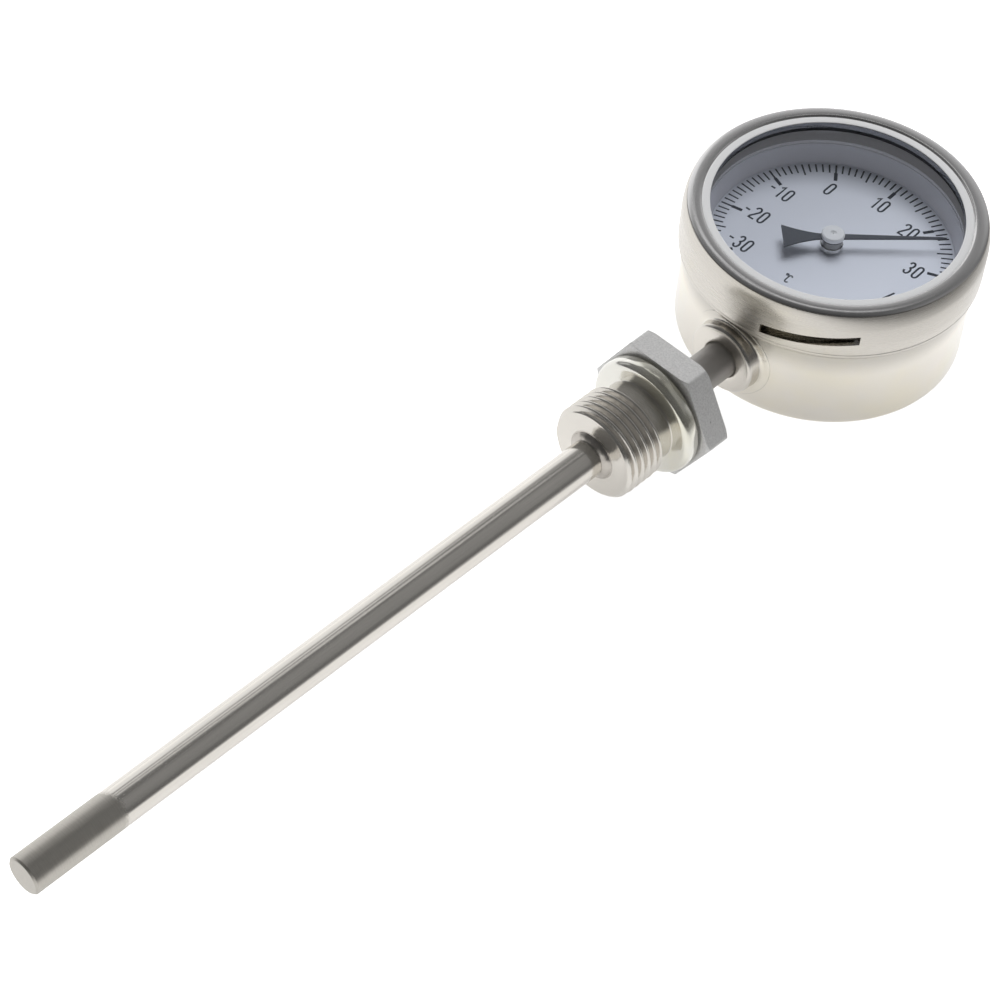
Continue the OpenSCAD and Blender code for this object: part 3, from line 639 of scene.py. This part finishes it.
def case_surface(r, degs, off):
    """Distance along the stem of the case wall at radius r about the stem's axis, plus off."""
    x = r * np.cos(np.radians(degs))
    z = stem_z + r * np.sin(np.radians(degs))
    round_in = CASE_EDGE - np.sqrt(np.maximum(CASE_EDGE ** 2 - (CASE_EDGE - z) ** 2, 0))
    wall = case_r - np.where(z < CASE_EDGE, round_in, 0.0) + off
    return np.sqrt(wall ** 2 - x ** 2)


SOCKET, CASE = range(2)                             # looks of the socket's faces


def build_socket():
    """Socket with a rounded front edge, set in the wall with a saddle-shaped weld."""
    degs = np.linspace(0, 360, 180, endpoint=False)
    inside, front = -sock_hi[1], -sock_lo[1]
    bore, body_r, edge = 4.02, 8.0, 0.9
    ripple = 0.012 * np.sin(np.radians(degs * 40)) + 0.01 * np.sin(np.radians(degs * 23 + 70))
    rows = [(bore, inside, SOCKET), (body_r, inside, SOCKET),
            (9.5, case_surface(9.5, degs, -2.2), SOCKET),
            (9.55, case_surface(9.55, degs, -0.30), CASE)]
    for r, off in ((9.84, -0.06), (9.90, 0.02), (9.80, 0.09), (9.60, 0.13), (9.2, 0.12),
                   (8.8, 0.10), (8.45, 0.13), (8.22, 0.24), (8.08, 0.42), (body_r, 0.70)):
        wave = ripple if off > 0.05 else 0
        rows.append((r, case_surface(r, degs, off) + wave, CASE if r > 8.1 else SOCKET))
    rows.append((body_r, front - 1.0, SOCKET))
    rounding = arc(body_r - edge, front - edge, edge, edge, 0, 90, 6)[1:]
    rows += [(r, y, SOCKET) for r, y in rounding]
    rows += [(5.2, front, SOCKET), (4.5, front, SOCKET), (4.3, front - 0.08, SOCKET),
             (4.08, front - 0.3, SOCKET), (bore, front - 0.5, SOCKET)]
    turned("socket_body", degs, rows, "case_steel", ["socket", "case"], 40, "stem_socket")


# ---------------------------------------------------------------- dial print
def ribbon(points, width, closed=False):
    """Left and right outlines of a stroke of constant width along a line of points."""
    p = np.array(points, float)
    n = len(p)
    left, right = [], []
    for i in range(n):
        a = p[i] - p[i - 1] if i > 0 or closed else p[i + 1] - p[i]
        b = p[(i + 1) % n] - p[i] if i < n - 1 or closed else a
        a, b = a / np.linalg.norm(a), b / np.linalg.norm(b)
        na, nb = np.array([-a[1], a[0]]), np.array([-b[1], b[0]])
        m = (na + nb) / np.linalg.norm(na + nb)
        miter = min(1.6, 1.0 / max(0.3, float(m @ na)))
        left.append(p[i] + m * width / 2 * miter)
        right.append(p[i] - m * width / 2 * miter)
    return left, right


def glyphs():
    """Half width and strokes of each character, in a box two units high."""
    w = 0.29
    join = [(-0.06, 0.05)]                          # where the two bowls of the 3 meet
    upper3 = arc(-0.02, 0.49, w - 0.03, 0.43, 170, -80, 10)
    lower3 = arc(-0.02, -0.45, w, 0.49, 85, -172, 10)
    zero = arc(0, 0.50, w, 0.42, 0, 180, 10) + arc(0, -0.50, w, 0.42, 180, 360, 10)
    two = arc(0, 0.50, w, 0.42, 175, -28, 10) + [(-0.27, -0.70), (-0.28, -0.92), (0.33, -0.92)]
    five = [(0.28, 0.92), (-0.21, 0.92), (-0.25, 0.08)] + arc(-0.01, -0.36, w, 0.56, 125, -165, 10)
    big_c = arc(0, 0.44, w, 0.46, 20, 180, 10) + arc(0, -0.44, w, 0.46, 180, 340, 10)
    return {
        "0": (w, [(zero, True)]),
        "1": (0.26, [([(-0.24, 0.52), (0.09, 0.86), (0.09, -1.0)], False)]),
        "2": (w, [(two, False)]),
        "3": (w, [(upper3 + join, False), (join + lower3, False)]),
        "4": (w, [([(0.12, 1.0), (-0.32, -0.46), (0.36, -0.46)], False),
                  ([(0.14, 0.25), (0.14, -1.0)], False)]),
        "5": (w, [(five, False)]),
        "C": (w, [(big_c, False)]),
        "o": (0.2, [(arc(0, 0.74, 0.17, 0.19, 0, 330, 11), True)]),
        "-": (0.30, [([(-0.26, -0.02), (0.26, -0.02)], False)]),
    }


# direction in degrees clockwise from +Y, and distance from the axis, of each number's middle
NUMBERS = {-30: (-132.2, 19.1), -20: (-102.2, 17.9), -10: (-74.0, 19.0), 0: (-40.5, 17.9),
           10: (-4.0, 17.9), 20: (27.3, 17.9), 30: (64.8, 17.9), 40: (97.8, 18.8),
           50: (130.0, 17.9)}
UNIT_AT = (-0.3, -13.7)
SCALE_LOW, SCALE_HIGH, SCALE_MIDDLE = -30, 50, 10
DEG_PER_UNIT = 270.0 / (SCALE_HIGH - SCALE_LOW)
DIAL_TURN = math.radians(3.5)                       # the whole print is turned anticlockwise
INK_BELOW, INK_ABOVE = 0.01, 0.022                  # how far it reaches into and above the dial
TICKS = {                                           # strokes of each kind: radii and width
    10: ((20.7, 23.1, 0.78), (23.05, 25.6, 0.42)),
    5: ((22.3, 25.6, 0.38),),
    1: ((23.1, 25.6, 0.36),),
}
DIGITS = (4.5, 0.22, 0.42)                          # height, stroke and gap
UNIT = (2.9, 0.24, 0.20)


def build_print():
    """Scale ticks, scale numbers and the degree unit as thin printed ink on the dial."""
    z0, z1 = dial_z - INK_BELOW, dial_z + INK_ABOVE
    shapes = glyphs()
    cos, sin = math.cos(DIAL_TURN), math.sin(DIAL_TURN)
    verts, faces = [], []

    def slab(points, width, closed=False):
        left, right = ribbon(points, width, closed)
        n, first = len(left), len(verts)
        for a, b in zip(left, right):
            verts.extend((q[0], q[1], z) for q, z in ((a, z0), (b, z0), (b, z1), (a, z1)))
        for k in range(n if closed else n - 1):
            i, j = first + 4 * k, first + 4 * ((k + 1) % n)
            for q in range(4):
                r = (q + 1) % 4
                faces.append((i + q, j + q, j + r, i + r))
        if not closed:
            last = first + 4 * (n - 1)
            faces.append(tuple(first + q for q in range(4)))
            faces.append(tuple(last + q for q in (3, 2, 1, 0)))

    def text(string, cx, cy, height, stroke, gap):
        unit = height / 2.0 / (1 + stroke / 2)
        x = -(sum(2 * shapes[c][0] for c in string) + gap * (len(string) - 1)) / 2
        for c in string:
            half, strokes = shapes[c]
            x += half
            for pts, closed in strokes:
                flat = [((px + x) * unit, py * unit) for px, py in pts]
                slab([(cx + px * cos - py * sin, cy + px * sin + py * cos) for px, py in flat],
                     stroke * unit, closed)
            x += half + gap

    for value in range(SCALE_LOW, SCALE_HIGH + 1):
        a = math.radians(DEG_PER_UNIT * (value - SCALE_MIDDLE)) - DIAL_TURN
        out = np.array([math.sin(a), math.cos(a)])
        kind = next(k for k in TICKS if value % k == 0)
        for r0, r1, width in TICKS[kind]:
            slab([out * r0, out * r1], width)
    for value, (deg, ring) in NUMBERS.items():
        a = math.radians(deg)
        text(str(value), ring * math.sin(a), ring * math.cos(a), *DIGITS)
    text("oC", *UNIT_AT, *UNIT)
    piece("dial_print", verts, faces, "body", ["ink"], sharp=30, weld=0)


build_bezel()
build_fitting()
build_socket()
build_print()

# ---------------------------------------------------------------- floor
FLOOR_TILT = math.atan2(1.7, 82.4)      # it touches the hexagon and the edge of the case's back
FLOOR_HALF = 6.0                        # half its side
FLOOR_GLOW, FLOOR_SEEN_GLOW = 0.58, 0.30    # its glow, and what the camera sees besides
FLOOR_FAR = 0.25                        # what is left of its light away from the object
FLOOR_BOUNCE = -0.35                    # change of its light on matt surfaces
FLOOR_SIDE_DEG = 30                     # the direction in which it fades, from +X toward +Y
FLOOR_SIDE = (-0.03, 0.12)              # where it fades in that direction, in metres
FLOOR_NEAR_Y = -0.010                   # the middle of a disc under the case that stays bright
FLOOR_NEAR = (0.050, 0.085)             # the radii over which that disc fades


def build_floor():
    """A plain white floor, whose light on the object fades with distance and toward +X."""
    mesh = bpy.data.meshes.new("floor")
    bm = bmesh.new()
    for x, y in ((-1, -1), (1, -1), (1, 1), (-1, 1)):
        bm.verts.new((x * FLOOR_HALF, y * FLOOR_HALF, 0))
    bm.faces.new(list(bm.verts))
    bm.to_mesh(mesh)
    bm.free()
    ob = link("floor", mesh)
    edge_y = (case_r - CASE_EDGE) * MM
    ob.rotation_euler = (FLOOR_TILT, 0, 0)
    ob.location = (0, edge_y, -0.00005)

    s = new_shader("floor_white")
    p = s.place()
    rays = s.add("LightPath").outputs
    turn = math.radians(FLOOR_SIDE_DEG)
    away = (math.cos(turn), math.sin(turn), 0)
    side = s.add("VectorMath", {0: p, 1: away}, operation="DOT_PRODUCT").outputs["Value"]
    near = s.add("VectorMath", {0: p, 1: (0.0, -edge_y + FLOOR_NEAR_Y, 0.0)},
                 operation="DISTANCE").outputs["Value"]
    fade = s.math("MAXIMUM", s.map(side, *FLOOR_SIDE, 1.0, FLOOR_FAR, smooth=True),
                  s.map(near, *FLOOR_NEAR, 1.0, FLOOR_FAR, smooth=True))
    fade = s.times(fade, s.math("MULTIPLY_ADD", rays["Is Diffuse Ray"], FLOOR_BOUNCE, 1.0))
    fade = s.math("MAXIMUM", fade, rays["Is Camera Ray"])
    white = s.mix(s.noise(p, 900.0, 2.0), rgb(0.86, 0.86, 0.86), rgb(0.90, 0.90, 0.90))
    diffuse = s.add("BsdfDiffuse", {"Color": s.mix(fade, rgb(0.0, 0.0, 0.0), white)}).outputs[0]
    glow = s.math("MULTIPLY_ADD", rays["Is Camera Ray"], FLOOR_SEEN_GLOW, FLOOR_GLOW)
    light = s.add("Emission", {"Color": rgb(1, 1, 1), "Strength": s.times(fade, glow)}).outputs[0]
    mesh.materials.append(s.finish(s.add("AddShader", {0: diffuse, 1: light}).outputs[0]))


build_floor()

# ---------------------------------------------------------------- light
FILL_AT = Vector((0.0, -0.03, 0.015))   # what the fill light faces
FILL_AZ, FILL_EL, FILL_DISTANCE, FILL_SIDE, FILL_POWER = 118, 66, 1.3, 0.8, 5.4


def build_fill():
    """A square area light that isn't mirrored by the object."""
    az, el = math.radians(FILL_AZ), math.radians(FILL_EL)
    toward = Vector((math.cos(el) * math.cos(az), math.cos(el) * math.sin(az), math.sin(el)))
    data = bpy.data.lights.new("fill", "AREA")
    data.shape = "RECTANGLE"
    data.size = data.size_y = FILL_SIDE
    data.energy = FILL_POWER * FILL_SIDE * FILL_SIDE * math.pi
    ob = link("fill", data)
    ob.location = FILL_AT + toward * FILL_DISTANCE
    ob.rotation_euler = toward.to_track_quat("Z", "Y").to_euler()
    ob.visible_camera = False
    ob.visible_glossy = False


STUDIO_DIM = 0.13                       # strength of the studio between the panels
STUDIO_SIDE, STUDIO_SIDE_AZ = -0.05, 302.0      # it is dimmer on this side
STUDIO_TOP, STUDIO_TOP_EL = 0.5, (50.0, 80.0)   # and overhead
PANELS = [                              # azimuths, elevations, strength, softness of the edges
    (92, 172, -8, 14, 0.62, 5.0, 7.0),
    (92, 172, 14, 34, 0.32, 5.0, 9.0),
    (92, 172, 34, 45, 0.12, 5.0, 6.0),
    (133, 150, 46.5, 53, 0.80, 4.0, 1.4),
    (104, 150, 57, 63, 0.60, 6.0, 1.4),
    (141, 170, 2, 41, 0.60, 4.0, 3.0),
    (20, 80, 18, 66, 0.10, 8.0, 8.0),
    (40, 62, 2, 22, 0.30, 5.0, 3.0),
    (182, 200, 4, 26, 0.40, 5.0, 3.0),
]


def build_world():
    """A dim studio with soft panels in it, white to the camera."""
    world = bpy.data.worlds.new("studio")
    scene.world = world
    s = Shader(world, "ShaderNodeOutputWorld")
    x, y, z = s.add("SeparateXYZ", {0: s.add("TexCoord").outputs["Generated"]}).outputs
    az = s.times(s.math("ARCTAN2", y, x), 180 / math.pi)
    az = s.math("MODULO", s.math("ADD", az, 360.0), 360.0)
    el = s.times(s.math("ARCSINE", z), 180 / math.pi)
    side = s.math("COSINE", s.times(s.math("SUBTRACT", az, STUDIO_SIDE_AZ), math.pi / 180))
    total = s.math("ADD", STUDIO_DIM, s.times(side, STUDIO_SIDE))
    total = s.times(total, s.map(el, *STUDIO_TOP_EL, 1.0, STUDIO_TOP, smooth=True))
    for a0, a1, e0, e1, strength, soft_a, soft_e in PANELS:
        inside = s.map(az, a0 - soft_a, a0 + soft_a, smooth=True)
        inside = s.times(inside, s.map(az, a1 - soft_a, a1 + soft_a, 1.0, 0.0, smooth=True))
        inside = s.times(inside, s.map(el, e0 - soft_e, e0 + soft_e, smooth=True))
        inside = s.times(inside, s.map(el, e1 - soft_e, e1 + soft_e, 1.0, 0.0, smooth=True))
        total = s.math("ADD", total, s.times(inside, strength))
    studio = s.add("Background", {"Color": rgb(0.985, 0.99, 1.0), "Strength": total}).outputs[0]
    white = s.add("Background", {"Color": rgb(1, 1, 1), "Strength": 1.0}).outputs[0]
    seen = s.add("LightPath").outputs["Is Camera Ray"]
    s.finish(s.add("MixShader", {0: seen, 1: studio, 2: white}).outputs[0])


build_fill()
build_world()

# ---------------------------------------------------------------- camera
CAM_AT = Vector((248.872, -389.423, 454.256)) * MM
CAM_TO = Vector((-3.181, -95.078, 13.429)) * MM
CAM_ROLL = math.radians(-4.8756)
CAM_LENS, CAM_SENSOR = 108.17, 36.0


def build_camera():
    """The camera at the photograph's viewing angle, fitted to the object's circles and edges."""
    forward = (CAM_TO - CAM_AT).normalized()
    level = forward.cross(Vector((0, 0, 1))).normalized()
    above = level.cross(forward)
    up = math.cos(CAM_ROLL) * above + math.sin(CAM_ROLL) * level
    right = math.cos(CAM_ROLL) * level - math.sin(CAM_ROLL) * above
    data = bpy.data.cameras.new("camera")
    data.lens = CAM_LENS
    data.sensor_width = CAM_SENSOR
    data.clip_start, data.clip_end = 0.01, 50.0
    cam = link("camera", data)
    turn = Matrix((right, up, -forward)).transposed().to_4x4()
    cam.matrix_world = Matrix.Translation(CAM_AT) @ turn
    bpy.context.scene.camera = cam


build_camera()
scene.view_settings.view_transform = "Standard"
scene.view_settings.look = "None"

bpy.context.view_layer.update()
